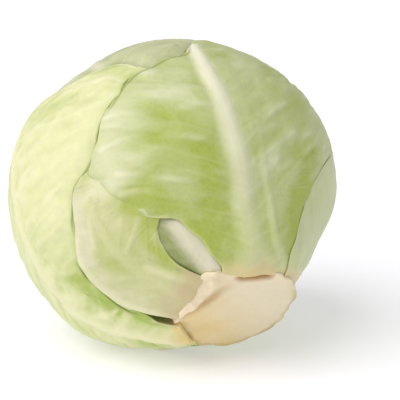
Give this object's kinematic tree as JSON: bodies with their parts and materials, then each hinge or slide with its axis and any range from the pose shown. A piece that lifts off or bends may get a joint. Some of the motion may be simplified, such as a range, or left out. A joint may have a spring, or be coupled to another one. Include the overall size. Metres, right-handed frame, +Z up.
{
  "type": "white cabbage",
  "caption": "Whole trimmed white cabbage lying on its side, with overlapping wrapper leaves and a broad cut stalk.",
  "frame": {"origin": "middle of the bounding box's base, on the surface the head rests on", "axes": "+Z up; the cut stalk points forwards (-Y), to the right (+X) and down, 35 degrees below level"},
  "size_m": [0.1612, 0.155, 0.1541],
  "materials": {
    "stalk": "matte",
    "heart": "satin",
    "inner_leaf": "satin",
    "left_leaf": "satin",
    "lower_left_leaf": "satin",
    "front_leaf": "satin",
    "right_leaf": "satin",
    "back_leaf": "satin"
  },
  "bodies": {
    "root": {"stalk": "stalk", "heart": "heart", "front_inner_leaf": "inner_leaf", "right_inner_leaf": "inner_leaf", "back_inner_leaf": "inner_leaf", "left_inner_leaf": "inner_leaf", "left_wrapper_leaf": "left_leaf", "lower_left_wrapper_leaf": "lower_left_leaf", "front_wrapper_leaf": "front_leaf", "right_wrapper_leaf": "right_leaf", "underside_wrapper_leaf": "back_leaf", "back_right_wrapper_leaf": "back_leaf"}
  },
  "joints": []
}
